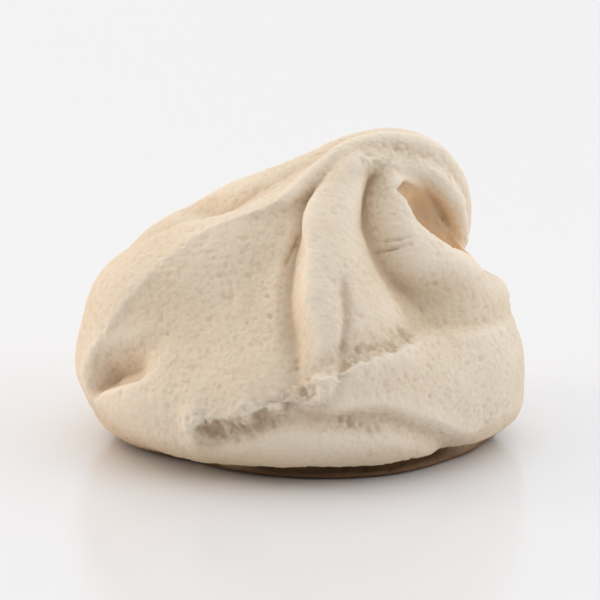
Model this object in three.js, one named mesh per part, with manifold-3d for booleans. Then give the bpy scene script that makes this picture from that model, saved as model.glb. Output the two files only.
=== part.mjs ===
// A piped meringue cookie, about 42 mm wide and 30 mm high: a fluted dome whose peak leans to the right,
// curls over and tucks in behind the right ridge, with a hollow left under the curl.
// Millimetres, +Z up, the front towards -Y. Angles run from the front (0) to the right (90 degrees).
import * as THREE from "three";
import { mergeVertices } from "three/addons/utils/BufferGeometryUtils.js";
import Module from "manifold-3d";

// ---- driving dimensions ----
const BODY_RADIUS = 21.2; // middle to the ridges, where the dome is widest
const BODY_HEIGHT = 30; // where the ridges would meet
const BODY_CAP = 28; // the dome ends here, inside the curl
const ROUND_STEPS = 96; // faces round the dome
const FRONT_CROWDING = 0.3; // 0 spreads them evenly, more brings them to the front
// How far the front columns of faces turn with height, along with the ridges there
const FRONT_TURN = [[0, 0], [12.5, 0], [16.7, -5], [19.5, -9], [22, -14], [25.1, -30], [28, -36]];
const FOOT_ROWS = 30; // rows of faces up to FOOT_TOP, where the folds are, and from there to BODY_CAP
const FOOT_TOP = 15;
const UPPER_ROWS = 17;
const CURL_ROUND_STEPS = 20;
const CURL_ROWS = 22;
const RIB_ROUND_STEPS = 10;
const RIB_ROWS = 20;
const HOLLOW_ROUND_STEPS = 20;
const HOLLOW_ROWS = 14;
const TINY_RADIUS = 0.4; // the dome never gets thinner than this

// Radius of the ridges by height, both as shares of the dome's
const OUTLINE = [
  [0, 0.62],
  [0.03, 0.725],
  [0.08, 0.86],
  [0.15, 0.955],
  [0.267, 1.0],
  [0.433, 0.948],
  [0.583, 0.821],
  [0.683, 0.689],
  [0.767, 0.538],
  [0.85, 0.368],
  [0.933, 0.17],
  [1, -0.047],
];
// How far the middle of the section has moved to the right, by height
const LEAN = [[0, 0], [8, 0], [16, 0.6], [22, 2.6], [26, 5], [30, 7.2]];
// Depth of the valleys between the ridges, by height
const VALLEY_DEPTH = [[0, 0.2], [4, 0.4], [9, 1.2], [12, 2.4], [15, 3.8], [19, 4.4], [24, 3.2], [28, 1.6]];

// crest: [height, angle, how far it stands out of the outline]
// valley: [height, angle] of the valley to the right of the crest
// bend: the flanks to its left and right; 1 is straight, more is rounder at the crest, less is hollow
const RIDGES = [
  {
    crest: [
      [4, -62, 0], [8.5, -67.5, 0.6], [13.6, -62.5, 0.9], [17.2, -61, 0.8],
      [19.8, -60, 0.5], [22.2, -57, 0.5], [25, -42, 0.3], [28, -48, 0],
    ],
    valley: [[4, -10], [12.5, -3], [16.7, -8], [19.5, -12], [22, -17], [25.1, -33], [28, -39]],
    bend: [1.2, 0.8],
  },
  {
    crest: [
      [4, 6, 0], [9, 5, 0], [14.5, 5, 0.2], [18.4, -1, 0.4],
      [22, -8, 0.4], [25.3, -22, 0.2], [28, -28, 0],
    ],
    valley: [[4, 36], [14, 43], [16.4, 41], [18.8, 34], [21.6, 29], [24.2, 26], [28, 20]],
    bend: [1.5, 2.2],
  },
  {
    crest: [
      [4, 82, 0.3], [9, 80, 0.1], [13, 84, -0.2], [15.4, 87, 0.2], [17, 74, 0],
      [19.2, 62, 0], [21.2, 53, -0.3], [23.3, 46, -0.5], [25.8, 42, -0.3], [28.3, 36, 0],
    ],
    valley: [[4, 108], [14, 110], [20, 96], [24, 90], [28, 88]],
    bend: [2.2, 1.2],
  },
  {
    crest: [[4, 128, 0], [14, 134, 0], [22, 142, 0], [28, 150, 0]],
    valley: [[4, 159], [14, 162], [22, 166], [28, 170]],
    bend: [1.2, 1.2],
  },
  {
    crest: [[4, 188, 0], [14, 186, 0], [22, 184, 0], [28, 188, 0]],
    valley: [[4, 212], [14, 209], [22, 212], [28, 222]],
    bend: [1.2, 1.2],
  },
  {
    crest: [[4, 236, 0], [14, 234, 0], [20.5, 239, -0.5], [23, 246, 0.3], [28, 256, 0]],
    valley: [[4, 256], [14, 254], [20, 260], [28, 286]],
    bend: [1.2, 1.2],
  },
];
const CREST_BLEND = 0.35; // rounding of the line where two flanks meet

// Steep narrow troughs at the bottom of two valleys, and a step along the right of the left crest:
// [height, angle, depth, how far it reaches to the left, and to the right]
const TROUGHS = [
  [
    [14.5, 47, 0, 3, 2.4], [16.4, 42, 0.7, 3, 2.2], [18.8, 34, 1.5, 3.2, 1.8], [21.6, 29, 2.3, 3.2, 1.8],
    [24.2, 27, 2.2, 2.6, 1.5], [26.1, 27, 1.6, 1.8, 0.9], [28, 24, 0.8, 1.2, 0.8],
  ],
  [
    [9, -2, 0, 1.4, 1.4], [12.5, -3, 0.6, 1.4, 1.4], [16.7, -8, 0.9, 1.4, 1.4], [19.5, -12, 1.1, 1.4, 1.4],
    [22, -17, 1.1, 1.3, 1.3], [25.1, -33, 0.6, 1, 1], [28, -39, 0.2, 0.8, 0.8],
  ],
  [
    [6, -63, 0.1, 1, 3], [9, -65.5, 0.4, 1, 4], [13.6, -60.5, 0.45, 1, 4], [17.2, -59, 0.45, 1, 4],
    [19.8, -58, 0.4, 1, 3.5], [22.2, -55, 0.3, 1, 3], [25, -40, 0.2, 1, 3], [28, -46, 0, 1, 3],
  ],
];

// Folds that run round the dome. line: [angle, height] from end to end; above and below: [how far the surface
// stands out at the line, how soon that fades away from it]; edge: height over which it turns from the one to
// the other; ends: degrees over which the fold fades at its ends
const FOLDS = [
  {
    line: [[-70, 5.6], [-66, 6.4], [-61.5, 7.4], [-52, 8.8], [-42, 10.3]],
    above: [-3, 5],
    below: [0.2, 5],
    edge: 1.8,
    ends: [7, 15],
  },
  {
    line: [[-29, 5.3], [-24, 6.1], [-13, 7.2], [-3, 8.2], [5, 9.2], [12, 10.5]],
    above: [0.15, 3],
    below: [-1, 3.4],
    edge: 2.2,
    ends: [3, 8],
  },
  {
    line: [[-4, 7.4], [4, 7.9], [12, 8], [23, 7.6], [38, 5.2], [50, 3.1], [62, 2.4]],
    above: [0.3, 3],
    below: [-1.3, 3.2],
    edge: 2.2,
    ends: [10, 14],
  },
  {
    line: [[-2, 11], [4, 11.6], [14, 12.8], [24, 13.3], [40, 13.4], [58, 13], [88, 12.4]],
    above: [-0.5, 3],
    below: [0.7, 6],
    edge: 1.2,
    ends: [10, 34],
  },
  {
    line: [[-124, 20], [-98, 20.8], [-84, 21.4], [-58, 24]],
    above: [-2.3, 3.8],
    below: [0.1, 4],
    edge: 1.8,
    ends: [16, 20],
  },
  {
    line: [[-62, 0.9], [-30, 1.4], [0, 1.6], [20, 1.6], [40, 1.7], [60, 1.6], [84, 1.2]],
    above: [0.1, 1.6],
    below: [-1.5, 1.7],
    edge: 0.7,
    ends: [20, 10],
  },
];

// Swellings and scoops of the dome: how far out, and how far they reach round and up
const SWELLINGS = [
  { angle: 47, height: 15.6, out: -1.6, round: 4.5, up: 3.6 },
  { angle: -98, height: 16.8, out: 3, round: 9.5, up: 4.2 },
  { angle: -50, height: 5, out: 0.5, round: 6, up: 4 },
  { angle: -38, height: 15, out: -2.4, round: 8, up: 5.5 },
  { angle: 88, height: 0, out: 3.4, round: 9, up: 4 },
  { angle: 84, height: 0, out: 0.6, round: 8, up: 0.9 },
  { angle: 88, height: 17, out: -0.9, round: 4, up: 1.4 },
  { angle: -84, height: 0, out: 2.8, round: 7, up: 2.6 },
  { angle: 22, height: 0, out: 2.2, round: 12, up: 0.9 },
  { angle: 32, height: 1.2, out: 0.7, round: 4, up: 2 },
  { angle: -29, height: 6, out: 0.6, round: 1.3, up: 2.8 },
];

// The curl, from inside the dome up, over and down: [x, y, z, half its thickness, half its width]
const CURL = [
  [2, 0.8, 19, 6, 6.4],
  [4, 0.8, 23.4, 4.4, 4.6],
  [7.4, 0.8, 26.3, 3.2, 3.7],
  [11, 1.2, 26.1, 2.8, 3.6],
  [13.5, 2, 23.4, 2.4, 3.5],
  [14, 2.6, 20.2, 2.2, 3.1],
  [13.2, 3, 17.4, 2, 2.6],
];
// The curl's own ridges: where they run round its section, how far they stand out as a share of its
// thickness, and the degrees from a crest to the valley beside it
const CURL_RIDGES = { angles: [-98, -40, 30, 150, 205], out: 0.06, reach: 33 };
// Ribs in which the two front ridges sweep up and over the curl, in the same terms as the curl
const RIBS = [
  [
    [2.2, -6.4, 23.4, 0.9, 0.9], [3.1, -5, 24.9, 1.1, 1.1], [4.9, -3.8, 27, 1.1, 1.1],
    [7.4, -2.8, 27.3, 1.1, 1.1], [9.8, -2.4, 26.7, 1.05, 1.05], [12.3, -2.2, 26.1, 1, 1],
    [14.2, -2, 24, 1, 1], [15.1, -1.6, 21.7, 0.8, 0.8], [15.4, -1, 19.4, 0.6, 0.6],
  ],
  [
    [-1.4, -6, 24.4, 0.7, 0.7], [0.7, -4.4, 25.7, 0.9, 0.9], [2.8, -2.9, 27.2, 1, 1], [5.2, -1.5, 28.4, 1, 1],
    [7.9, -0.9, 28.9, 1, 1], [10.4, -0.6, 28.6, 1, 1], [12.4, -0.4, 27.8, 1, 1], [13.9, -0.1, 26.4, 0.9, 0.9],
    [14.9, 0.4, 24.6, 0.8, 0.8], [15.3, 0.8, 22.6, 0.6, 0.6],
  ],
];
// The hollow under the curl, along the right ridge, in the same terms
const HOLLOW = [
  [9.7, -4.4, 25, 0.9, 1.5],
  [11.2, -4.3, 23.4, 1.9, 3],
  [12.7, -4.2, 21.7, 1.6, 3.2],
  [14, -4.1, 20.2, 1.1, 2.6],
  [15.3, -4.1, 19, 0.6, 1.4],
];

const wasm = await Module();
wasm.setup();

// ---- small functions ----

// A smooth curve through [t, value, ...] rows: the value in the given column at t, held flat past either end
function through(rows, t, column = 1) {
  const last = rows.length - 1;
  const at = THREE.MathUtils.clamp(t, rows[0][0], rows[last][0]);
  let i = 0;
  while (i < last - 1 && at >= rows[i + 1][0]) {
    i += 1;
  }
  const slope = (k) => {
    const before = rows[Math.max(k - 1, 0)];
    const after = rows[Math.min(k + 1, last)];
    return (after[column] - before[column]) / (after[0] - before[0]);
  };
  const span = rows[i + 1][0] - rows[i][0];
  const s = (at - rows[i][0]) / span;
  return (
    rows[i][column] * (1 + 2 * s) * (1 - s) ** 2 +
    rows[i + 1][column] * s * s * (3 - 2 * s) +
    span * slope(i) * s * (1 - s) ** 2 -
    span * slope(i + 1) * s * s * (1 - s)
  );
}

// The larger of two numbers, with a round corner where they are within k of each other
function softMax(a, b, k) {
  const h = THREE.MathUtils.clamp(0.5 + (0.5 * (a - b)) / k, 0, 1);
  return b + (a - b) * h + k * h * (1 - h);
}

// Degrees from one direction to another, from -180 to 180
function turn(from, to) {
  return THREE.MathUtils.euclideanModulo(to - from + 180, 360) - 180;
}

// 0 below 0, 1 above 1 and smooth between
function ease(t) {
  return THREE.MathUtils.smoothstep(t, 0, 1);
}

// ---- the dome ----

// How far down a flank the surface is, from 0 on the crest to 1 in the valley
function flank(share, bend) {
  const along = THREE.MathUtils.clamp(share, 0, 1);
  return bend < 1 ? 1 - (1 - along) ** (1 / bend) : along ** bend;
}

// How far the flutes lower the surface: not at all on a crest, the full depth in a valley
function flutes(angle, height) {
  const depth = through(VALLEY_DEPTH, height);
  let offset = -depth;
  RIDGES.forEach(({ crest, valley, bend }, i) => {
    const leftValley = RIDGES[(i + RIDGES.length - 1) % RIDGES.length].valley;
    const top = through(crest, height);
    const away = turn(top, angle);
    const reach = turn(top, through(away < 0 ? leftValley : valley, height));
    const down = flank(away / reach, bend[away < 0 ? 0 : 1]);
    offset = softMax(offset, through(crest, height, 2) * (1 - down) - depth * down, CREST_BLEND);
  });
  return offset;
}

function troughs(angle, height, radius) {
  let offset = 0;
  for (const rows of TROUGHS) {
    const away = THREE.MathUtils.degToRad(turn(through(rows, height), angle)) * radius;
    const reach = through(rows, height, away < 0 ? 3 : 4);
    offset -= through(rows, height, 2) * Math.exp(-((away / reach) ** 2));
  }
  return offset;
}

function folds(angle, height) {
  let offset = 0;
  for (const { line, above, below, edge, ends } of FOLDS) {
    const first = line[0][0];
    const last = line[line.length - 1][0];
    const middle = (first + last) / 2;
    const along = middle + turn(middle, angle);
    const fade = ease((along - first) / ends[0]) * ease((last - along) / ends[1]);
    const over = height - through(line, along);
    const upper = above[0] * (1 - ease(over / above[1]));
    const lower = below[0] * (1 - ease(-over / below[1]));
    offset += fade * THREE.MathUtils.lerp(lower, upper, ease(over / edge + 0.5));
  }
  return offset;
}

function swellings(angle, height, radius) {
  let offset = 0;
  for (const swelling of SWELLINGS) {
    const round = THREE.MathUtils.degToRad(turn(swelling.angle, angle)) * radius;
    const up = height - swelling.height;
    offset += swelling.out * Math.exp(-((round / swelling.round) ** 2) - (up / swelling.up) ** 2);
  }
  return offset;
}

function domeRadius(angle, height) {
  const radius = through(OUTLINE, height / BODY_HEIGHT) * BODY_RADIUS;
  const grooved = flutes(angle, height) + troughs(angle, height, radius);
  return Math.max(radius + grooved + folds(angle, height) + swellings(angle, height, radius), TINY_RADIUS);
}

// Each four-sided face of a lathe is split along its shorter diagonal, so that slanted folds stay smooth
function splitShorter(geometry, roundSteps, profilePoints) {
  const position = geometry.attributes.position;
  const point = (i) => new THREE.Vector3().fromBufferAttribute(position, i);
  const index = [];
  for (let step = 0; step < roundSteps; step += 1) {
    for (let row = 0; row < profilePoints - 1; row += 1) {
      const a = step * profilePoints + row;
      const b = a + profilePoints;
      const c = b + 1;
      const d = a + 1;
      if (point(a).distanceTo(point(c)) < point(b).distanceTo(point(d))) {
        index.push(a, b, c, a, c, d);
      } else {
        index.push(a, b, d, c, d, b);
      }
    }
  }
  geometry.setIndex(index);
}

// A lathe whose points are then moved out to the dome's own radius
function domeGeometry() {
  const profile = [new THREE.Vector2(0, 0)];
  for (let row = 0; row <= FOOT_ROWS; row += 1) {
    profile.push(new THREE.Vector2(1, (row / FOOT_ROWS) * FOOT_TOP));
  }
  for (let row = 1; row <= UPPER_ROWS; row += 1) {
    profile.push(new THREE.Vector2(1, THREE.MathUtils.lerp(FOOT_TOP, BODY_CAP, row / UPPER_ROWS)));
  }
  profile.push(new THREE.Vector2(0, BODY_CAP));
  const geometry = new THREE.LatheGeometry(profile, ROUND_STEPS);
  geometry.rotateX(Math.PI / 2);
  const position = geometry.attributes.position;
  const point = new THREE.Vector3();
  for (let i = 0; i < position.count; i += 1) {
    point.fromBufferAttribute(position, i);
    const share = Math.min(Math.hypot(point.x, point.y), 1);
    const even = Math.atan2(point.x, -point.y);
    const turned = (THREE.MathUtils.degToRad(through(FRONT_TURN, point.z)) * (1 + Math.cos(even))) / 2;
    const angle = even - FRONT_CROWDING * Math.sin(even) + turned;
    const radius = share * domeRadius(THREE.MathUtils.radToDeg(angle), point.z);
    const middle = through(LEAN, point.z);
    position.setXYZ(i, middle + radius * Math.sin(angle), -radius * Math.cos(angle), point.z);
  }
  splitShorter(geometry, ROUND_STEPS, profile.length);
  return geometry;
}

// ---- the curl, its ribs and the hollow ----

// How much thicker a section is at an angle, as a share: all of ridges.out on a crest, nothing in a valley
function ridgeShare(angle, ridges) {
  let share = 0;
  for (const crest of ridges.angles) {
    const away = Math.abs(turn(crest, angle)) / ridges.reach;
    share = Math.max(share, ridges.out * (1 - Math.min(away, 1)));
  }
  return share;
}

// An oval rod of changing thickness with round ends, bent along a smooth curve through rows of
// [x, y, z, half the thickness, half the width from front to back], with or without ridges along it
function bentRod(rows, steps, roundSteps, ridges = { angles: [], out: 0, reach: 1 }) {
  const points = rows.map(([x, y, z]) => new THREE.Vector3(x, y, z));
  const curve = new THREE.CatmullRomCurve3(points, false, "catmullrom");
  const sizes = rows.map((row, i) => [i / (rows.length - 1), row[3], row[4]]);
  const capSteps = 4;
  const sections = [];
  for (let step = 0; step < capSteps; step += 1) {
    const lean = ((step / capSteps) * Math.PI) / 2;
    sections.push({ at: 0, back: Math.cos(lean), share: Math.sin(lean) });
  }
  for (let step = 0; step <= steps; step += 1) {
    sections.push({ at: step / steps, back: 0, share: 1 });
  }
  for (let step = capSteps - 1; step >= 0; step -= 1) {
    const lean = ((step / capSteps) * Math.PI) / 2;
    sections.push({ at: 1, back: -Math.cos(lean), share: Math.sin(lean) });
  }
  const profile = sections.map((section, i) => new THREE.Vector2(section.share, i));
  const geometry = new THREE.LatheGeometry(profile, roundSteps);
  const position = geometry.attributes.position;
  const front = new THREE.Vector3(0, -1, 0);
  for (let i = 0; i < position.count; i += 1) {
    const section = sections[Math.round(position.getY(i))];
    const angle = THREE.MathUtils.radToDeg(Math.atan2(position.getX(i), position.getZ(i)));
    const fluted = 1 + ridgeShare(angle, ridges);
    const along = curve.getTangent(section.at);
    const side = new THREE.Vector3().crossVectors(along, front).normalize();
    const ahead = new THREE.Vector3().crossVectors(side, along);
    const thick = through(sizes, section.at, 1);
    const wide = through(sizes, section.at, 2);
    const point = curve.getPoint(section.at);
    point.addScaledVector(along, -section.back * thick);
    point.addScaledVector(side, position.getX(i) * thick * fluted);
    point.addScaledVector(ahead, position.getZ(i) * wide * fluted);
    position.setXYZ(i, point.x, point.y, point.z);
  }
  return geometry;
}

// ---- joining and cutting ----

// A closed solid of a geometry whose shared points are merged
function solidOf(geometry) {
  geometry.deleteAttribute("normal");
  geometry.deleteAttribute("uv");
  const merged = mergeVertices(geometry, 1e-5);
  const index = Array.from(merged.index.array);
  const triangles = [];
  for (let i = 0; i < index.length; i += 3) {
    const [a, b, c] = index.slice(i, i + 3);
    if (a !== b && b !== c && c !== a) {
      triangles.push(a, b, c);
    }
  }
  const mesh = new wasm.Mesh({
    numProp: 3,
    vertProperties: new Float32Array(merged.attributes.position.array),
    triVerts: new Uint32Array(triangles),
  });
  return new wasm.Manifold(mesh);
}

function geometryOf(solid) {
  const mesh = solid.getMesh();
  const geometry = new THREE.BufferGeometry();
  geometry.setAttribute("position", new THREE.BufferAttribute(new Float32Array(mesh.vertProperties), 3));
  geometry.setIndex(new THREE.BufferAttribute(new Uint32Array(mesh.triVerts), 1));
  return geometry;
}

// Moved so that the middle of its box stands over the origin, on the ground
function centred(geometry) {
  geometry.computeBoundingBox();
  const middle = geometry.boundingBox.getCenter(new THREE.Vector3());
  geometry.translate(-middle.x, -middle.y, -geometry.boundingBox.min.z);
  return geometry;
}

function meringueGeometry() {
  const dome = solidOf(domeGeometry());
  const curl = solidOf(bentRod(CURL, CURL_ROWS, CURL_ROUND_STEPS, CURL_RIDGES));
  const ribs = RIBS.map((rows) => solidOf(bentRod(rows, RIB_ROWS, RIB_ROUND_STEPS)));
  const hollow = solidOf(bentRod(HOLLOW, HOLLOW_ROWS, HOLLOW_ROUND_STEPS));
  const whole = ribs.reduce((solid, rib) => solid.add(rib), dome.add(curl));
  const geometry = centred(geometryOf(whole.subtract(hollow)));
  geometry.computeVertexNormals();
  return geometry;
}

const bakedCrust = new THREE.MeshStandardMaterial({ color: 0xe6d2b6, roughness: 0.9, metalness: 0 });
const meringue = new THREE.Mesh(meringueGeometry(), bakedCrust);
meringue.name = "meringue";

const cookie = new THREE.Group();
cookie.add(meringue);

export default cookie;
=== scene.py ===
"""A piped meringue cookie, about 42 mm wide and 30 mm high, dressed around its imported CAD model.

The form is worked out again from the same named sizes as the CAD solid, as a smooth field in millimetres: a
fluted dome whose peak leans to the right, curls over and leaves a hollow behind the right ridge. Its surface
is meshed, then roughened with grain, pores, crumbs and cracks. +Z is up, the front is -Y, and angles run from
the front (0) to the right (90 degrees).
"""
import math

import bpy
import numpy as np
import openvdb
from mathutils import Matrix, Vector
from mathutils.kdtree import KDTree

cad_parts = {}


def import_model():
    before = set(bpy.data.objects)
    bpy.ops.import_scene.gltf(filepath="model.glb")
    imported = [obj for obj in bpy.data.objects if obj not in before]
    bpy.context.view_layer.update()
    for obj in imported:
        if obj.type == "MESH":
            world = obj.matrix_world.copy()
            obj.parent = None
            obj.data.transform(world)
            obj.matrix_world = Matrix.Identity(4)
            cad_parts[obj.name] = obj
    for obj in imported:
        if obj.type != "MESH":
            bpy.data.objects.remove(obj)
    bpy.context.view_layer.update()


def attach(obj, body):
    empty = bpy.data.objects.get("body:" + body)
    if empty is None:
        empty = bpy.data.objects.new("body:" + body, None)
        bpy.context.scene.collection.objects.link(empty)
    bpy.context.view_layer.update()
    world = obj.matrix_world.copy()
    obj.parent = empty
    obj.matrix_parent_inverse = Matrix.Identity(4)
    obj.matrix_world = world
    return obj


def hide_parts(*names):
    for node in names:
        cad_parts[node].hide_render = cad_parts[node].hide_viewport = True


MM = 0.001

# ---- the dome, in millimetres and degrees ----
BODY_RADIUS = 21.2  # middle to the ridges, where the dome is widest
BODY_HEIGHT = 30  # where the ridges would meet
BODY_CAP = 28  # the dome ends here, inside the curl
LEAST_RADIUS = -3  # the dome's radius doesn't count as less than this near its top
DOME_SCALE = 0.6  # turns level distances from the dome into about true ones, as its flanks slope
# Radius of the ridges by height, both as shares of the dome's
OUTLINE = [
    [0, 0.62], [0.03, 0.725], [0.08, 0.86], [0.15, 0.955], [0.267, 1.0], [0.433, 0.948], [0.583, 0.821],
    [0.683, 0.689], [0.767, 0.538], [0.85, 0.368], [0.933, 0.17], [1, -0.047],
]
# How far the middle of the section has moved to the right, by height
LEAN = [[0, 0], [8, 0], [16, 0.6], [22, 2.6], [26, 5], [30, 7.2]]
# Depth of the valleys between the ridges, by height
VALLEY_DEPTH = [[0, 0.2], [4, 0.4], [9, 1.2], [12, 2.4], [15, 3.8], [19, 4.4], [24, 3.2], [28, 1.6]]
# crest: [height, angle, how far it stands out of the outline]
# valley: [height, angle, how much deeper than the others] of the valley to the right of the crest
# bend: the flanks to its left and right; 1 is straight, more is rounder at the crest, less is hollow
RIDGES = [
    {
        "crest": [
            [4, -62, 0], [8.5, -67.5, 0.6], [13.6, -62.5, 0.9], [17.2, -61, 0.8],
            [19.8, -60, 0.5], [22.2, -57, 0.5], [25, -42, 0.3], [28, -48, 0],
        ],
        "valley": [
            [4, -10, 0], [12.5, -3, 0], [16.7, -8, 0], [19.5, -12, 0],
            [22, -17, 0], [25.1, -33, 0], [28, -39, 0],
        ],
        "bend": [1.2, 0.8],
    },
    {
        "crest": [
            [4, 6, 0], [9, 5, 0], [14.5, 5, 0.2], [18.4, -1, 0.4],
            [22, -8, 0.4], [25.3, -22, 0.2], [28, -28, 0],
        ],
        "valley": [
            [4, 36, 0], [14, 43, 0], [16.4, 41, 0], [18.8, 34, 0], [21.6, 29, 0], [24.2, 26, 0], [28, 20, 0],
        ],
        "bend": [1.5, 2.2],
    },
    {
        "crest": [
            [4, 82, 0.3], [9, 80, 0.1], [13, 84, -0.2], [15.4, 87, 0.2], [17, 74, 0],
            [19.2, 62, 0], [21.2, 53, -0.3], [23.3, 46, -0.5], [25.8, 42, -0.3], [28.3, 36, 0],
        ],
        "valley": [[4, 108, 0], [14, 110, 0], [20, 96, 0], [24, 90, 0], [28, 88, 0]],
        "bend": [2.2, 1.2],
    },
    {
        "crest": [[4, 128, 0], [14, 134, 0], [22, 142, 0], [28, 150, 0]],
        "valley": [[4, 159, 0], [14, 162, 0], [22, 166, 0], [28, 170, 0]],
        "bend": [1.2, 1.2],
    },
    {
        "crest": [[4, 188, 0], [14, 186, 0], [22, 184, 0], [28, 188, 0]],
        "valley": [[4, 212, 0], [14, 209, 0], [22, 212, 0], [28, 222, 0]],
        "bend": [1.2, 1.2],
    },
    {
        "crest": [[4, 236, 0], [14, 234, 0], [20.5, 239, -0.5], [23, 246, 0.3], [28, 256, 0]],
        "valley": [[4, 256, -0.4], [14, 254, -0.8], [20, 260, -0.8], [28, 286, 0]],
        "bend": [1.2, 1.2],
    },
]
CREST_BLEND = 0.35  # rounding of the line where two flanks meet
DEEPEST_VALLEY = -9.0  # lower than any flank

TROUGH_END = 3  # a trough has run out at this many times its reach
# Steep narrow troughs at the bottom of two valleys, and a step along the right of the left crest:
# [height, angle, depth, how far it reaches to the left, and to the right]
TROUGHS = [
    [
        [14.5, 47, 0, 3, 2.4], [16.4, 42, 0.7, 3, 2.2], [18.8, 34, 1.5, 3.2, 1.8], [21.6, 29, 2.3, 3.2, 1.8],
        [24.2, 27, 2.2, 2.6, 1.5], [26.1, 27, 1.6, 1.8, 0.9], [28, 24, 0.8, 1.2, 0.8],
    ],
    [
        [9, -2, 0, 1, 1], [12.5, -3, 0.6, 1, 1.1], [16.7, -8, 0.9, 1, 1.2], [19.5, -12, 1.1, 1, 1.2],
        [22, -17, 1.1, 1, 1.1], [25.1, -33, 0.6, 0.8, 0.8], [28, -39, 0.2, 0.6, 0.6],
    ],
    [
        [6, -63, 0.1, 0.7, 3], [9, -65.5, 0.4, 0.7, 4], [13.6, -60.5, 0.45, 0.7, 4],
        [17.2, -59, 0.45, 0.7, 4], [19.8, -58, 0.4, 0.7, 3.5], [22.2, -55, 0.3, 0.7, 3],
        [25, -40, 0.2, 0.7, 3], [28, -46, 0, 0.7, 3],
    ],
]

# Folds that run round the dome. line: [angle, height] from end to end; above and below: [how far the surface
# stands out at the line, how soon that fades away from it]; edge: height over which it turns from the one to
# the other; ends: degrees over which the fold fades at its ends
FOLDS = [
    {"line": [[-70, 5.6], [-66, 6.4], [-61.5, 7.4], [-52, 8.8], [-42, 10.3]], "above": [-3, 5],
     "below": [0.2, 5], "edge": 1.8, "ends": [7, 15]},
    {"line": [[-29, 5.3], [-24, 6.1], [-13, 7.2], [-3, 8.2], [5, 9.2], [12, 10.5]], "above": [0.15, 3],
     "below": [-1, 3.4], "edge": 2.2, "ends": [3, 8]},
    {"line": [[-4, 7.4], [4, 7.9], [12, 8], [23, 7.6], [38, 5.2], [50, 3.1], [62, 2.4]], "above": [0.3, 3],
     "below": [-1.3, 3.2], "edge": 2.2, "ends": [10, 14]},
    {"line": [[-2, 11], [4, 11.6], [14, 12.8], [24, 13.3], [40, 13.4], [58, 13], [88, 12.4]],
     "above": [-0.5, 3], "below": [0.7, 6], "edge": 0.8, "ends": [10, 34]},
    {"line": [[-124, 20], [-98, 20.8], [-84, 21.4], [-58, 24]], "above": [-2.3, 3.8], "below": [0.1, 4],
     "edge": 0.9, "ends": [16, 20]},
    {"line": [[-62, 0.9], [-30, 1.4], [0, 1.6], [20, 1.6], [40, 1.7], [60, 1.6], [84, 1.2]],
     "above": [0.1, 1.6], "below": [-1.5, 1.7], "edge": 0.35, "ends": [20, 10]},
]

# Swellings and scoops of the dome: how far out, and how far they reach round and up
SWELLINGS = [
    {"angle": 47, "height": 15.6, "out": -1.6, "round": 4.5, "up": 3.6},
    {"angle": -98, "height": 16.8, "out": 3, "round": 9.5, "up": 4.2},
    {"angle": -50, "height": 5, "out": 0.5, "round": 6, "up": 4},
    {"angle": -38, "height": 15, "out": -2.4, "round": 8, "up": 5.5},
    {"angle": 88, "height": 0, "out": 3.4, "round": 9, "up": 4},
    {"angle": 84, "height": 0, "out": 0.6, "round": 8, "up": 0.9},
    {"angle": 88, "height": 17, "out": -0.9, "round": 4, "up": 1.4},
    {"angle": -84, "height": 0, "out": 2.8, "round": 7, "up": 2.6},
    {"angle": 22, "height": 0, "out": 2.2, "round": 12, "up": 0.9},
    {"angle": 32, "height": 1.2, "out": 0.7, "round": 4, "up": 2},
    {"angle": -29, "height": 6, "out": 0.6, "round": 1.3, "up": 2.8},
]

# The curl, from inside the dome up, over and down: [x, y, z, half its thickness, half its width]
CURL = [
    [2, 0.8, 19, 6, 6.4],
    [4, 0.8, 23.4, 4.4, 4.6],
    [7.4, 0.8, 26.3, 3.2, 3.7],
    [11, 1.2, 26.1, 2.8, 3.6],
    [13.5, 2, 23.4, 2.4, 3.5],
    [14, 2.6, 20.2, 2.2, 3.1],
    [13.2, 3, 17.4, 2, 2.6],
]
# The curl's own ridges: where they run round its section, how far they stand out as a share of its thickness,
# and the degrees from a crest to the valley beside it
CURL_RIDGES = {"angles": [-98, -40, 30, 150, 205], "out": 0.06, "reach": 33}
CURL_BLEND = 1.4  # rounding of the corner between the curl and the dome
# Ribs in which the front ridges sweep up and over the curl: [x, y, z, half their thickness]
RIBS = [
    [
        [2.2, -6.4, 23.4, 0.9], [3.1, -5, 24.9, 1.1], [4.9, -3.8, 27, 1.1], [7.4, -2.8, 27.3, 1.1],
        [9.8, -2.4, 26.7, 1.05], [12.3, -2.2, 26.1, 1], [14.2, -2, 24, 1], [15.1, -1.6, 21.7, 0.8],
        [15.4, -1, 19.4, 0.6],
    ],
    [
        [-1.4, -6, 24.4, 0.7], [0.7, -4.4, 25.7, 0.9], [2.8, -2.9, 27.2, 1], [5.2, -1.5, 28.4, 1],
        [7.9, -0.9, 28.9, 1], [10.4, -0.6, 28.6, 1], [12.4, -0.4, 27.8, 1], [13.9, -0.1, 26.4, 0.9],
        [14.9, 0.4, 24.6, 0.8], [15.3, 0.8, 22.6, 0.6],
    ],
]
RIB_BLEND = 0.9  # rounding of the corners beside the ribs
# The hollow under the curl, along the right ridge, in the same terms
HOLLOW = [
    [9.7, -4.4, 25, 0.9, 1.5],
    [11.2, -4.3, 23.4, 1.9, 3],
    [12.7, -4.2, 21.7, 1.6, 3.2],
    [14, -4.1, 20.2, 1.1, 2.6],
    [15.3, -4.1, 19, 0.6, 1.4],
]
RIM_BLEND = 0.25  # rounding of its rim in the dome and the ribs
CURL_RIM_BLEND = 1.0  # and in the curl
BASE_BLEND = 0.5  # rounding of the bottom edge

# ---- the crust's roughness, in millimetres ----
# A place on the crust has a line of [angle, height] on the dome or a path of [x, y, z], the width to either
# side over which its trait fades, and the trait's share on the line. Where it also has a fade, the trait runs
# out over that distance from either end.

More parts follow.
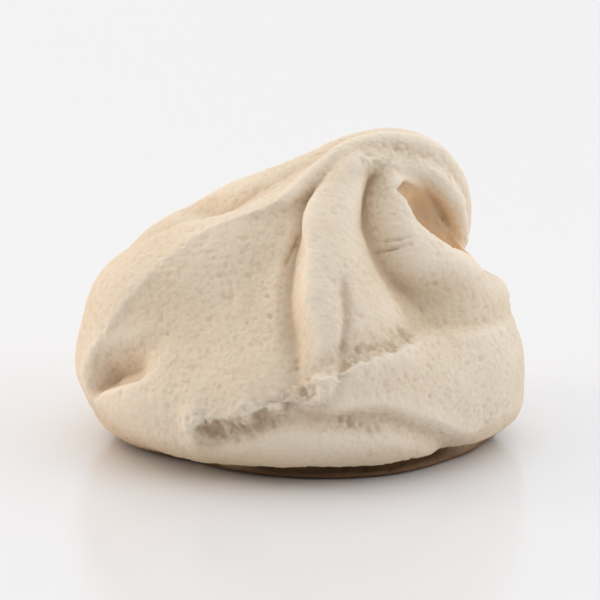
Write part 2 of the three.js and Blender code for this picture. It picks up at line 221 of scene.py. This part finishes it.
# Where the crust is crumbly or broken
CRUMBLY = [
    {"line": [[-25, 5.8], [-20, 6.1], [-14, 6.7], [-5, 8.4], [2, 9.8]], "width": 2, "share": 0.9},
    {"line": [[8, 11.4], [14, 12.8], [24, 13.3], [34, 13.6]], "width": 1, "share": 0.8},
    {"line": [[8, 20.2], [11.6, 16.2], [11, 14], [9.6, 11.2], [8.6, 9.1]], "width": 0.8, "share": 0.35},
    {"line": [[8, 6.8], [14, 6.5], [20, 6]], "width": 1.1, "share": 0.7},
    {"line": [[-46, 24], [-56, 22.5], [-60, 20.2], [-61, 17.2], [-65, 13.8]], "width": 1, "share": 0.25},
    {"line": [[40, 17], [46, 15], [56, 14]], "width": 1.6, "share": 0.22},
    {"line": [[84, 14], [86, 10], [86, 5], [80, 1.5]], "width": 1.2, "share": 0.4},
    {"line": [[70, 0.8], [50, 0.8], [30, 0.7], [10, 0.8]], "width": 0.5, "share": 0.4},
    {"path": [[6.9, -3.8, 28], [9.4, -2.6, 28.3], [11.8, -2.2, 27.6], [13.6, -1.8, 26]], "width": 1.6,
     "share": 0.5},
]
# Narrow grooves and cracks in the dome, or thin walls where the depth is below 0
GROOVES = [
    {"line": [[8, 20.2], [11.6, 16.2], [11, 14], [9.6, 11.2], [8.2, 8.6]], "width": 0.5, "depth": 0.6,
     "fade": 3},
    {"line": [[34, 20.9], [38, 21.4], [42, 21.8]], "width": 0.13, "depth": 0.25, "fade": 0.4},
    {"line": [[-37, 18.2], [-34, 17.6], [-31, 16.5], [-28.5, 15.6]], "width": 0.2, "depth": 0.15,
     "fade": 0.6},
    {"line": [[-17.5, 21.8], [-15.5, 20.5], [-15, 19.2]], "width": 0.18, "depth": 0.3, "fade": 0.6},
    {"line": [[32.5, 19.9], [37, 20.5], [42, 21.2]], "width": 0.15, "depth": 0.4, "fade": 0.4},
    {"line": [[-65, 7], [-60, 7.7], [-52, 8.9], [-45, 9.9]], "width": 0.6, "depth": 0.5, "fade": 2},
    {"line": [[-10.5, 9.2], [-10.5, 6.4]], "width": 0.7, "depth": 0.4, "fade": 1},
    {"line": [[-22, 6.2], [-17, 6.2], [-12, 6.5]], "width": 0.5, "depth": 0.3, "fade": 1},
    {"line": [[-14.4, 8.3], [-13.6, 5.8]], "width": 0.45, "depth": -0.55, "fade": 0.8},
    {"line": [[-7.8, 9], [-6.8, 6.8]], "width": 0.4, "depth": -0.45, "fade": 0.8},
    {"line": [[-4, 9.2], [-3.2, 7.4]], "width": 0.35, "depth": 0.35, "fade": 0.8},
]
# Noise that moves the surface, as layers of [size, how many times taller than wide, distance, kind, seed].
# Smooth noise goes both ways. Furrows only go outwards between sharp grooves, or inwards between sharp edges
# where the distance is below 0
LUMPS = [[6, 1, 0.16, "smooth", 1], [2.4, 1, 0.07, "smooth", 2], [0.9, 3.3, 0.04, "smooth", 3]]
GRAIN = [[0.55, 1.6, -0.11, "furrows", 4], [0.32, 1, 0.03, "smooth", 7]]
CRUMB_GRAIN = [[0.5, 1, 0.62, "furrows", 9]]
CRUMB_SINK = 0.29  # how far in the crumbs' own grain starts
NOISE_GAIN = 1.6  # brings the noise to between about -1 and 1
# Patches in which the grain is weaker or stronger: their size and seed, how sharply they differ, and the
# least strength and what comes on top of it
PATCHES = {"size": 5, "seed": 6, "contrast": 0.8, "least": 0.5, "more": 0.7}
# Round dents scattered over the crust, and pits and lumps where it is crumbly: how many, their radius, and
# their depth as a share of that radius, below 0 for a lump
PORES = {"count": 700, "radius": [0.2, 0.54], "depth": [0.2, 0.45]}
CLODS = {"count": 300, "radius": [0.5, 1.4], "depth": [-0.28, 0.5]}
SMALLEST_DENT = 0.4  # share of their radius that they keep where they are least likely
CLOD_LIMIT = 0.6  # the pits and lumps together never reach past this
SEED = 11
# The crust is smooth up to this height, and gets its full roughness over the rise above it
CALM_BASE = {"height": 0.1, "rise": 0.8}

# Painted warm bounce light at the bottom of the hollow, standing for light that bounces inside it, over some
# real toasting
TOAST_AND_BOUNCE_LIGHT = [
    {"path": [[10.6, -3, 23.6], [12, -3, 22], [13.5, -3, 20.5], [15.2, -3.6, 19]], "width": 1.8, "share": 1},
]
# Painted shade: a deep warm brown in the crease between the right ridge and the curl
CREASE_SHADE = [{"path": [[10.8, -2.8, 21.7], [12.8, -2.8, 20.4], [14.6, -2.9, 19.2]], "width": 1.1, "share": 1}]
# Painted contact shadow: near-black brown round the foot, below its lip
FOOT_SHADOW = [
    {"line": [[angle, 0.5] for angle in range(-75, -14, 5)], "width": 0.9, "share": 0.7, "fade": 8},
    {"line": [[angle, 1] for angle in range(-40, 76, 5)], "width": 1.05, "share": 1, "fade": 9},
]
# The bulge paints light and shade into the crust's colour: paler on crests, darker in valleys and creases
BULGE_ROUNDS = 150  # how often the surface is evened out before it is compared with itself
# The relief also paints shade into the crust's colour: its dips are darkened
CRAG_SHADE = 0.8  # how much more the crumbly places count in the relief that darkens the crust

# ---- the mesh, in millimetres ----
REACH = [[-24, 24], [-24, 24], [-1.2, 32.4]]  # the space that is searched for the surface
STEP = 0.2  # spacing of the mesh's points
BLOCK = 4  # the field is first looked at once per block of so many points a side
NEAR_BLOCKS = 1.5  # and then at every point, up to this many blocks from the surface
FAR = 4.0  # a point further from the surface counts as this far from it
ROD_SAMPLES = 12  # points along a rod, for each row of its table
ROD_MARGIN = 4  # how far from a rod its distance is worked out
RIB_MARGIN = 2  # and from a rib

# ---- the crust's look ----
CRUST_ROUGHNESS = 0.88
CRUST_SPECULAR = 0.25
# weight: how much of the light enters the crust; radius: how far red, green and blue go in it, times scale
LIGHT_INSIDE = {"weight": 0.2, "radius": (1.0, 0.62, 0.38), "scale": 0.0008}
FINE_GRAIN = (1900, 3)  # scale and detail of the finest noise
BUMP_STRENGTH = 0.8
BUMP_HEIGHT = 0.0002  # metres
# Colours laid over each other, from the first to the last. by: noise of that scale and detail, the height in
# metres, or a value that roughen gives each point; below: the colour where it is under the range; above: the
# colour where it is over the range. Where one of them isn't given, the colour so far stays
CRUST_COLOURS = [
    {"by": (90, 3), "range": (0.35, 0.65), "below": (0.80, 0.665, 0.505), "above": (0.86, 0.74, 0.59)},
    {"by": (700, 4), "range": (0.58, 0.9), "above": (0.76, 0.61, 0.45)},
    # painted shade: darker in the dips of the relief, more so where the crust is crumbly
    {"by": "relief", "range": (-0.6, -0.08), "below": (0.67, 0.54, 0.405)},
    # painted shade in the pits of the finest grain: darker where the bump's noise is low
    {"by": FINE_GRAIN, "range": (0.25, 0.5), "below": (0.70, 0.57, 0.43)},
    # painted highlight on what stands out, and painted shade in what sinks in
    {"by": "bulge", "range": (0.05, 0.5), "above": (0.92, 0.81, 0.67)},
    {"by": "bulge", "range": (-0.9, -0.05), "below": (0.58, 0.43, 0.29)},
    # painted warm bounce light at the bottom of the hollow, with some real toasting
    {"by": "toast_and_bounce_light", "range": (0.05, 0.9), "above": (0.97, 0.77, 0.53)},
    # painted shade in the crease between the right ridge and the curl
    {"by": "crease_shade", "range": (0.15, 1.0), "above": (0.66, 0.38, 0.17)},
    # darker and yellower towards the bottom, below about 4.5 mm
    {"by": "height", "range": (0.0010, 0.0045), "below": (0.76, 0.60, 0.41)},
    # near-black brown at the very bottom: painted contact shadow under the lip, and partly a browner baked
    # underside
    {"by": "height", "range": (0.0003, 0.0013), "below": (0.19, 0.10, 0.05)},
    # painted contact shadow round the foot, below its lip
    {"by": "foot_shadow", "range": (0.25, 0.85), "above": (0.14, 0.08, 0.04)},
]

# ---- light and camera, in metres ----
FLOOR_SIZE = 4
FLOOR_COLOUR = (0.86, 0.86, 0.88)
FLOOR_ROUGHNESS = 0.2
FLOOR_SPECULAR = 0.22
SKY_COLOUR = (0.97, 0.985, 1)
SKY_STRENGTH = 1.05
# Areas of the sky: the direction of the middle, and the cosines from which the area fades in and is full.
# One is darker, as the room behind the camera is, and one is tinted by the warm things at the left
SHADED_SKY = {"towards": (0, -0.99, -0.1), "range": (0.5, 0.85), "strength": 0.1}
WARM_SKY = {"towards": (-0.85, 0.4, 0.1), "range": (0.45, 0.9), "colour": (0.85, 0.7, 0.55)}
LIT_POINT = (0, 0, 0.01)  # where the lamps point
LAMPS = [
    {"name": "window", "place": (-0.46, 0.06, 0.13), "power": 0.47, "size": 0.16, "colour": (1, 0.83, 0.66)},
    {"name": "bounce", "place": (0.45, -0.1, 0.2), "power": 0.27, "size": 0.3, "colour": (1, 0.95, 0.9)},
]
CAMERA_TARGET = (0, 0, 0.0132)
CAMERA_DISTANCE = 0.602
CAMERA_TILT = 15  # degrees down
CAMERA_LENS = 380.3  # mm
SENSOR_WIDTH = 36  # mm
CAMERA_NEAR = 0.01


# ---- small functions ----

def through(rows, t, column=1):
    """The value in a column at t, on a smooth curve through [t, value, ...] rows, flat past either end."""
    key = np.array([row[0] for row in rows], float)
    value = np.array([row[column] for row in rows], float)
    slope = np.empty_like(value)
    slope[1:-1] = (value[2:] - value[:-2]) / (key[2:] - key[:-2])
    slope[0] = (value[1] - value[0]) / (key[1] - key[0])
    slope[-1] = (value[-1] - value[-2]) / (key[-1] - key[-2])
    at = np.clip(t, key[0], key[-1])
    i = np.clip(np.searchsorted(key, at, side="right") - 1, 0, len(key) - 2)
    span = key[i + 1] - key[i]
    s = (at - key[i]) / span
    return (value[i] * (1 + 2 * s) * (1 - s) ** 2 + value[i + 1] * s * s * (3 - 2 * s)
            + span * slope[i] * s * (1 - s) ** 2 - span * slope[i + 1] * s * s * (1 - s))


def soft_max(a, b, k):
    """The larger of two numbers, with a round corner where they are within k of each other."""
    h = np.clip(0.5 + 0.5 * (a - b) / k, 0, 1)
    return b + (a - b) * h + k * h * (1 - h)


def soft_min(a, b, k):
    """The smaller of two numbers, with the same round corner."""
    return -soft_max(-a, -b, k)


def ease(t):
    """0 below 0, 1 above 1 and smooth between."""
    t = np.clip(t, 0, 1)
    return t * t * (3 - 2 * t)


def turn(start, end):
    """Degrees from one direction to another, from -180 to 180."""
    return (end - start + 180) % 360 - 180


# ---- the form ----

def flank(share, bend):
    """How far down a flank the surface is, from 0 on the crest to 1 in the valley."""
    share = np.clip(share, 0, 1)
    if bend < 1:
        return 1 - (1 - share) ** (1 / bend)
    return share ** bend


def flutes(angle, z):
    """How far the flutes lower the surface: not at all on a crest, the full depth in a valley."""
    depth = through(VALLEY_DEPTH, z)
    out = np.full(z.shape, DEEPEST_VALLEY)
    for left, ridge in zip(RIDGES[-1:] + RIDGES[:-1], RIDGES):
        crest = through(ridge["crest"], z)
        away = turn(crest, angle)
        down, valley = 0, 0
        flanks = ((-1, left["valley"], ridge["bend"][0]), (1, ridge["valley"], ridge["bend"][1]))
        for side, slope, bend in flanks:
            reach = side * turn(crest, through(slope, z))
            on_side = side * away >= 0
            down = down + on_side * flank(side * away / reach, bend)
            valley = valley + on_side * (depth + through(slope, z, 2))
        out = soft_max(out, through(ridge["crest"], z, 2) * (1 - down) - valley * down, CREST_BLEND)
    return out


def troughs(angle, z, radius):
    """How far the troughs move the surface out, so less than 0 in them."""
    out = np.zeros_like(angle)
    for rows in TROUGHS:
        away = np.radians(turn(through(rows, z), angle)) * radius
        left = np.exp(-np.minimum(-away / through(rows, z, 3), TROUGH_END) ** 2)
        right = np.exp(-np.minimum(away / through(rows, z, 4), TROUGH_END) ** 2)
        out -= through(rows, z, 2) * np.where(away < 0, left, right)
    return out


def folds(angle, z):
    """How far the folds move the surface out."""
    out = np.zeros_like(angle)
    for fold in FOLDS:
        first, last = fold["line"][0][0], fold["line"][-1][0]
        middle = (first + last) / 2
        along = middle + turn(middle, angle)
        fade = ease((along - first) / fold["ends"][0]) * ease((last - along) / fold["ends"][1])
        over = z - through(fold["line"], along)
        upper = fold["above"][0] * (1 - ease(over / fold["above"][1]))
        lower = fold["below"][0] * (1 - ease(-over / fold["below"][1]))
        out += fade * (lower + (upper - lower) * ease(over / fold["edge"] + 0.5))
    return out


def swellings(angle, z, radius):
    """How far the swellings and scoops move the surface out."""
    out = np.zeros_like(angle)
    for swelling in SWELLINGS:
        round_ = np.radians(turn(swelling["angle"], angle)) * radius
        up = z - swelling["height"]
        out += swelling["out"] * np.exp(-((round_ / swelling["round"]) ** 2) - (up / swelling["up"]) ** 2)
    return out


def dome_radius(angle, z):
    """From the middle of the dome's section to its surface."""
    radius = through(OUTLINE, z / BODY_HEIGHT) * BODY_RADIUS
    relief = flutes(angle, z) + troughs(angle, z, radius) + folds(angle, z) + swellings(angle, z, radius)
    return np.maximum(radius + relief, LEAST_RADIUS)


def dome(x, y, z):
    """How far outside the dome a point is, measured level."""
    across = x - through(LEAN, z)
    return np.hypot(across, y) - dome_radius(np.degrees(np.arctan2(across, -y)), z)


def rod(rows, x, y, z, ridges=None):
    """Distance from an oval rod of changing thickness, bent along a smooth curve."""
    samples = ROD_SAMPLES * len(rows)
    t = np.linspace(0, len(rows) - 1, samples)
    numbered = [[i, *row] for i, row in enumerate(rows)]
    centre = [through(numbered, t, column) for column in (1, 2, 3)]
    thick, wide = through(numbered, t, 4), through(numbered, t, 5)
    ahead = np.gradient(np.stack(centre, 1), t, axis=0)
    speed = np.linalg.norm(ahead, axis=1)
    ahead /= speed[:, None]
    side = np.cross(ahead, (0, -1, 0))
    side /= np.linalg.norm(side, axis=1)[:, None]
    front = np.cross(side, ahead)

    nearest = np.zeros(x.shape, int)
    best = np.full(x.shape, np.inf)
    for k in range(samples):
        distance = (x - centre[0][k]) ** 2 + (y - centre[1][k]) ** 2 + (z - centre[2][k]) ** 2
        closer = distance < best
        nearest[closer] = k
        best[closer] = distance[closer]
    point = (x, y, z)
    step = sum((point[i] - centre[i][nearest]) * ahead[nearest, i] for i in range(3))
    at = np.clip(t[nearest] + step / speed[nearest], t[0], t[-1])

    def there(table):
        return np.interp(at, t, table)

    off = [point[i] - there(centre[i]) for i in range(3)]
    along, out, forward = (sum(off[i] * there(axis[:, i]) for i in range(3)) for axis in (ahead, side, front))
    half = there(thick)
    forward = forward * half / there(wide)
    if ridges:
        round_ = np.degrees(np.arctan2(out, forward))
        share = np.zeros_like(half)
        for crest in ridges["angles"]:
            away = np.abs(turn(crest, round_)) / ridges["reach"]
            share = np.maximum(share, ridges["out"] * (1 - np.minimum(away, 1)))
        out, forward = out / (1 + share), forward / (1 + share)
    return np.sqrt(along ** 2 + out ** 2 + forward ** 2) - half


def near_rod(rows, x, y, z, ridges=None, margin=ROD_MARGIN):
    """rod, worked out only for the points within reach of it. The others count as that far away."""
    low = np.min([np.array(row[:3]) - max(row[3:]) for row in rows], axis=0) - margin
    high = np.max([np.array(row[:3]) + max(row[3:]) for row in rows], axis=0) + margin
    inside = np.ones(x.shape, bool)
    for axis, value in enumerate((x, y, z)):
        inside &= (value > low[axis]) & (value < high[axis])
    distance = np.full(x.shape, float(margin))
    distance[inside] = rod(rows, x[inside], y[inside], z[inside], ridges)
    return distance


def field(x, y, z):
    """Below 0 inside the cookie, above 0 outside."""
    hollow = near_rod(HOLLOW, x, y, z)
    body = soft_max(dome(x, y, z) * DOME_SCALE, -hollow, RIM_BLEND)
    body = np.maximum(body, z - BODY_CAP)
    curl = soft_max(near_rod(CURL, x, y, z, CURL_RIDGES), -hollow, CURL_RIM_BLEND)
    cookie = soft_min(body, curl, CURL_BLEND)
    for rows in RIBS:
        rib = near_rod([[*row, row[3]] for row in rows], x, y, z, margin=RIB_MARGIN)
        cookie = soft_min(cookie, soft_max(rib, -hollow, RIM_BLEND), RIB_BLEND)
    return soft_max(cookie, -z, BASE_BLEND)


def surface_mesh():
    """Points in millimetres and four-sided faces of the form's surface."""
    counts = [math.ceil((high - low) / STEP / BLOCK) * BLOCK for low, high in REACH]
    axes = [low + STEP * np.arange(count) for (low, _), count in zip(REACH, counts)]
    middles = [axis[::BLOCK] + STEP * (BLOCK - 1) / 2 for axis in axes]
    coarse = field(*np.meshgrid(*middles, indexing="ij"))

    def spread(blocks):
        for axis in range(3):
            blocks = blocks.repeat(BLOCK, axis)
        return blocks

    values = spread(np.clip(coarse, -FAR, FAR)).astype(np.float32)
    near = np.nonzero(spread(np.abs(coarse) < NEAR_BLOCKS * BLOCK * STEP))
    values[near] = field(*(axis[i] for axis, i in zip(axes, near)))
    grid = openvdb.FloatGrid(background=FAR)
    grid.copyFromArray(np.clip(values, -FAR, FAR))
    points, _, quads = grid.convertToPolygons(isovalue=0.0, adaptivity=0.0)
    return np.array(points) * STEP + [low for low, _ in REACH], np.array(quads)


def mesh_object(name, points, faces):
    """A smoothly shaded object of those points and faces."""
    mesh = bpy.data.meshes.new(name)
    mesh.from_pydata(points.tolist(), [], faces.tolist())
    mesh.shade_smooth()
    obj = bpy.data.objects.new(name, mesh)
    bpy.context.scene.collection.objects.link(obj)
    return obj


def normals_of(mesh):
    """The direction out of the surface at each of its points."""
    normals = np.empty(len(mesh.vertices) * 3, np.float32)
    mesh.vertices.foreach_get("normal", normals)
    return normals.reshape(-1, 3).astype(float)


# ---- roughness of the crust ----

def gradient_noise(points, size, seed):
    """Smooth noise between about -1 and 1, with lumps of that size."""
    random = np.random.default_rng(seed)
    order = np.tile(random.permutation(256), 2)
    slopes = random.normal(size=(256, 3))
    slopes /= np.linalg.norm(slopes, axis=1)[:, None]
    at = points / size
    cell = np.floor(at).astype(int)
    inside = at - cell
    weight = inside ** 3 * (inside * (inside * 6 - 15) + 10)
    total = np.zeros(len(points))
    for corner in np.ndindex(2, 2, 2):
        x, y, z = ((cell + corner) & 255).T
        slope = slopes[order[order[order[x] + y] + z]]
        share = np.prod(np.where(corner, weight, 1 - weight), axis=1)
        total += share * np.sum(slope * (inside - corner), axis=1)
    return total * NOISE_GAIN


def waves(points, layers):
    """The sum of some layers of noise."""
    out = np.zeros(len(points))
    for size, tall, distance, kind, seed in layers:
        noise = gradient_noise(points * (1, 1, 1 / tall), size, seed)
        out += distance * (np.abs(noise) if kind == "furrows" else noise)
    return out


def on_dome(angle, z):
    """The point of the dome's surface at that angle and height."""
    angle, z = np.array([angle], float), np.array([z], float)
    radius = dome_radius(angle, z)[0]
    turned = math.radians(angle[0])
    return [through(LEAN, z)[0] + radius * math.sin(turned), -radius * math.cos(turned), z[0]]


def line_distance(points, line):
    """How far each point is from a line through the given points."""
    best = np.full(len(points), np.inf)
    for start, end in zip(line[:-1], line[1:]):
        start, end = np.array(start), np.array(end)
        along = end - start
        share = np.clip((points - start) @ along / (along @ along), 0, 1)
        best = np.minimum(best, np.linalg.norm(points - start - share[:, None] * along, axis=1))
    return best


def run_out(points, line, distance):
    """1 along the line, falling to 0 over that distance from either end of it."""
    from_ends = [np.linalg.norm(points - end, axis=1) for end in (line[0], line[-1])]
    return ease(np.min(from_ends, axis=0) / distance)


def nearness(points, places):
    """How much of a trait the crust has at each point: up to 1 on the lines of the places that have it."""
    most = np.zeros(len(points))
    for place in places:
        line = place["path"] if "path" in place else [on_dome(*at) for at in place["line"]]
        away = line_distance(points, line) / place["width"]
        share = place["share"] * np.exp(-away ** 2)
        if "fade" in place:
            share *= run_out(points, line, place["fade"])
        most = np.maximum(most, share)
    return most


def grooves(points):
    """How far the grooves and thin walls move each point out."""
    out = np.zeros(len(points))
    for groove in GROOVES:
        line = [on_dome(*at) for at in groove["line"]]
        away = line_distance(points, line) / groove["width"]
        out -= groove["depth"] * np.exp(-away ** 2) * run_out(points, line, groove["fade"])
    return out


def dents(points, tree, chances, kind, random):
    """Round dents of one kind, scattered over the points according to their chances."""
    out = np.zeros(len(points))
    for middle in random.choice(len(points), kind["count"], p=chances / chances.sum()):
        size = SMALLEST_DENT + (1 - SMALLEST_DENT) * chances[middle]
        radius = random.uniform(*kind["radius"]) * size
        depth = radius * random.uniform(*kind["depth"])
        for _, i, away in tree.find_range(Vector(points[middle]), radius):
            out[i] -= depth * (1 - ease(away / radius))
    return out


def bulges(mesh, points, normals):
    """How far each point stands out of the evened-out surface around it, so less than 0 in a dip."""
    ends = np.empty(len(mesh.edges) * 2, np.int32)
    mesh.edges.foreach_get("vertices", ends)
    first, second = ends.reshape(-1, 2).T
    neighbours = np.bincount(ends, minlength=len(points))
    even = points.copy()
    for _ in range(BULGE_ROUNDS):
        for axis in range(3):
            total = np.bincount(first, even[second, axis], len(points))
            total += np.bincount(second, even[first, axis], len(points))
            even[:, axis] = total / neighbours
    return np.sum((points - even) * normals, axis=1)


def crags(points, tree, crumbs, random):
    """How far the pits, lumps and crumbs of the crumbly places move each point out."""
    clods = dents(points, tree, crumbs ** 2, CLODS, random)
    rounded = CLOD_LIMIT * np.tanh(clods / CLOD_LIMIT)
    return rounded + crumbs * (waves(points, CRUMB_GRAIN) - CRUMB_SINK)


def roughen(obj):
    """Moves the surface's points in and out for lumps, grain, crumbs, grooves and pores.

    It also gives each point the values that its colour depends on, among them those for painted light and
    shade.
    """
    mesh = obj.data
    count = len(mesh.vertices)
    points = np.empty(count * 3)
    mesh.vertices.foreach_get("co", points)
    points = points.reshape(-1, 3)
    normals = normals_of(mesh)
    bulge = bulges(mesh, points, normals)
    tree = KDTree(count)
    for i, point in enumerate(points):
        tree.insert(point, i)
    tree.balance()

    random = np.random.default_rng(SEED)
    patches = PATCHES["contrast"] * gradient_noise(points, PATCHES["size"], PATCHES["seed"])
    strength = PATCHES["least"] + PATCHES["more"] * ease(0.5 + patches)
    out = waves(points, LUMPS) + strength * waves(points, GRAIN)
    crumbled = crags(points, tree, nearness(points, CRUMBLY), random)
    out += crumbled
    out += grooves(points) + dents(points, tree, np.ones(count), PORES, random)
    above_base = ease((points[:, 2] - CALM_BASE["height"]) / CALM_BASE["rise"])
    points += normals * (out * above_base)[:, None]
    mesh.vertices.foreach_set("co", points.ravel())
    mesh.update()

    # Values that the colour reads: the painted shade of dips, the painted light and shade of bulges, and the
    # places of painted shade and bounce light
    shades = {
        "relief": out + CRAG_SHADE * crumbled,
        "bulge": bulge,
        "toast_and_bounce_light": nearness(points, TOAST_AND_BOUNCE_LIGHT),
        "crease_shade": nearness(points, CREASE_SHADE),
        "foot_shadow": nearness(points, FOOT_SHADOW),
    }
    for name, values in shades.items():
        layer = mesh.attributes.new(name, "FLOAT", "POINT")
        layer.data.foreach_set("value", values.astype(np.float32))


# ---- the scene ----

def noise(tree, place, scale, detail):
    """A noise node of that scale and detail."""
    node = tree.nodes.new("ShaderNodeTexNoise")
    node.inputs["Scale"].default_value = scale
    node.inputs["Detail"].default_value = detail
    tree.links.new(place, node.inputs["Vector"])
    return node


def crust_colour(tree):
    """The output of the crust's colours laid over each other."""
    nodes, links = tree.nodes, tree.links
    place = nodes.new("ShaderNodeTexCoord").outputs["Object"]
    axes = nodes.new("ShaderNodeSeparateXYZ")
    links.new(place, axes.inputs["Vector"])

    def amount(by):
        if by == "height":
            return axes.outputs["Z"]
        if isinstance(by, str):
            node = nodes.new("ShaderNodeAttribute")
            node.attribute_name = by
        else:
            node = noise(tree, place, *by)
        return node.outputs["Fac"]

    colour = None
    for layer in CRUST_COLOURS:
        share = nodes.new("ShaderNodeMapRange")
        share.inputs["From Min"].default_value, share.inputs["From Max"].default_value = layer["range"]
        links.new(amount(layer["by"]), share.inputs["Value"])
        mix = nodes.new("ShaderNodeMix")
        mix.data_type = "RGBA"
        links.new(share.outputs["Result"], mix.inputs["Factor"])
        for socket, side in (("A", "below"), ("B", "above")):
            if side in layer:
                mix.inputs[socket].default_value = (*layer[side], 1)
            else:
                links.new(colour, mix.inputs[socket])
        colour = mix.outputs["Result"]
    return colour


def crust_material():
    """Dry chalky crust that lets a little light in, with its finest grain as bump."""
    material = bpy.data.materials.new("baked_crust")
    material.use_nodes = True
    tree = material.node_tree
    shader = tree.nodes["Principled BSDF"]
    shader.inputs["Roughness"].default_value = CRUST_ROUGHNESS
    shader.inputs["Specular IOR Level"].default_value = CRUST_SPECULAR
    shader.inputs["Subsurface Weight"].default_value = LIGHT_INSIDE["weight"]
    shader.inputs["Subsurface Radius"].default_value = LIGHT_INSIDE["radius"]
    shader.inputs["Subsurface Scale"].default_value = LIGHT_INSIDE["scale"]
    tree.links.new(crust_colour(tree), shader.inputs["Base Color"])
    grain = noise(tree, tree.nodes.new("ShaderNodeTexCoord").outputs["Object"], *FINE_GRAIN)
    bump = tree.nodes.new("ShaderNodeBump")
    bump.inputs["Strength"].default_value = BUMP_STRENGTH
    bump.inputs["Distance"].default_value = BUMP_HEIGHT
    tree.links.new(grain.outputs["Fac"], bump.inputs["Height"])
    tree.links.new(bump.outputs["Normal"], shader.inputs["Normal"])
    return material


def add_floor():
    """A pale table that mirrors the cookie faintly."""
    bpy.ops.mesh.primitive_plane_add(size=FLOOR_SIZE)
    floor = bpy.context.object
    floor.name = "floor"
    material = bpy.data.materials.new("pale_table")
    material.use_nodes = True
    shader = material.node_tree.nodes["Principled BSDF"]
    shader.inputs["Base Color"].default_value = (*FLOOR_COLOUR, 1)
    shader.inputs["Roughness"].default_value = FLOOR_ROUGHNESS
    shader.inputs["Specular IOR Level"].default_value = FLOOR_SPECULAR
    floor.data.materials.append(material)


def add_lamp(name, place, power, size, colour):
    """A square lamp that faces the cookie."""
    light = bpy.data.lights.new(name, "AREA")
    light.energy, light.size, light.color = power, size, colour
    lamp = bpy.data.objects.new(name, light)
    bpy.context.scene.collection.objects.link(lamp)
    lamp.location = place
    lamp.rotation_mode = "QUATERNION"
    lamp.rotation_quaternion = (Vector(LIT_POINT) - Vector(place)).to_track_quat("-Z", "Y")


def facing(tree, area):
    """A world node that goes from 0 to 1 as the direction turns towards the middle of an area of the sky."""
    direction = tree.nodes.new("ShaderNodeTexCoord")
    product = tree.nodes.new("ShaderNodeVectorMath")
    product.operation = "DOT_PRODUCT"
    product.inputs[1].default_value = area["towards"]
    share = tree.nodes.new("ShaderNodeMapRange")
    share.inputs["From Min"].default_value, share.inputs["From Max"].default_value = area["range"]
    tree.links.new(direction.outputs["Generated"], product.inputs[0])
    tree.links.new(product.outputs["Value"], share.inputs["Value"])
    return share


def add_light():
    """A bright sky that is darker behind the camera and warmer at the left, and the lamps."""
    world = bpy.data.worlds.new("studio")
    bpy.context.scene.world = world
    world.use_nodes = True
    tree = world.node_tree
    sky = tree.nodes["Background"]
    shade = facing(tree, SHADED_SKY)
    shade.inputs["To Min"].default_value = SKY_STRENGTH
    shade.inputs["To Max"].default_value = SHADED_SKY["strength"]
    tree.links.new(shade.outputs["Result"], sky.inputs["Strength"])
    colour = tree.nodes.new("ShaderNodeMix")
    colour.data_type = "RGBA"
    colour.inputs["A"].default_value = (*SKY_COLOUR, 1)
    colour.inputs["B"].default_value = (*WARM_SKY["colour"], 1)
    tree.links.new(facing(tree, WARM_SKY).outputs["Result"], colour.inputs["Factor"])
    tree.links.new(colour.outputs["Result"], sky.inputs["Color"])
    for lamp in LAMPS:
        add_lamp(**lamp)


def add_camera(shift):
    """A level camera with a long lens, in front of the cookie. It moves along with the cookie by shift."""
    scene = bpy.context.scene
    camera = bpy.data.cameras.new("camera")
    holder = bpy.data.objects.new("camera", camera)
    scene.collection.objects.link(holder)
    scene.camera = holder
    camera.sensor_width = SENSOR_WIDTH
    camera.lens = CAMERA_LENS
    camera.clip_start = CAMERA_NEAR
    tilt = math.radians(CAMERA_TILT)
    back = Vector((0, -math.cos(tilt), math.sin(tilt)))
    holder.location = Vector(CAMERA_TARGET) + shift + back * CAMERA_DISTANCE
    holder.rotation_mode = "QUATERNION"
    holder.rotation_quaternion = (-back).to_track_quat("-Z", "Y")
    scene.view_settings.view_transform = "Standard"


def main():
    """Puts the cookie in the place of the CAD solid, with a table, light and a camera."""
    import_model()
    points, faces = surface_mesh()
    middle = (points.min(0) + points.max(0)) / 2
    shift = np.array([-middle[0], -middle[1], -points[:, 2].min()])
    cookie = mesh_object("meringue_crust", points, faces)
    roughen(cookie)
    cookie.data.transform(Matrix.Diagonal((MM, MM, MM, 1)) @ Matrix.Translation(shift))
    cookie.data.materials.append(crust_material())
    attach(cookie, "root")
    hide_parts("meringue")
    add_floor()
    add_light()
    add_camera(Vector(shift) * MM)


main()
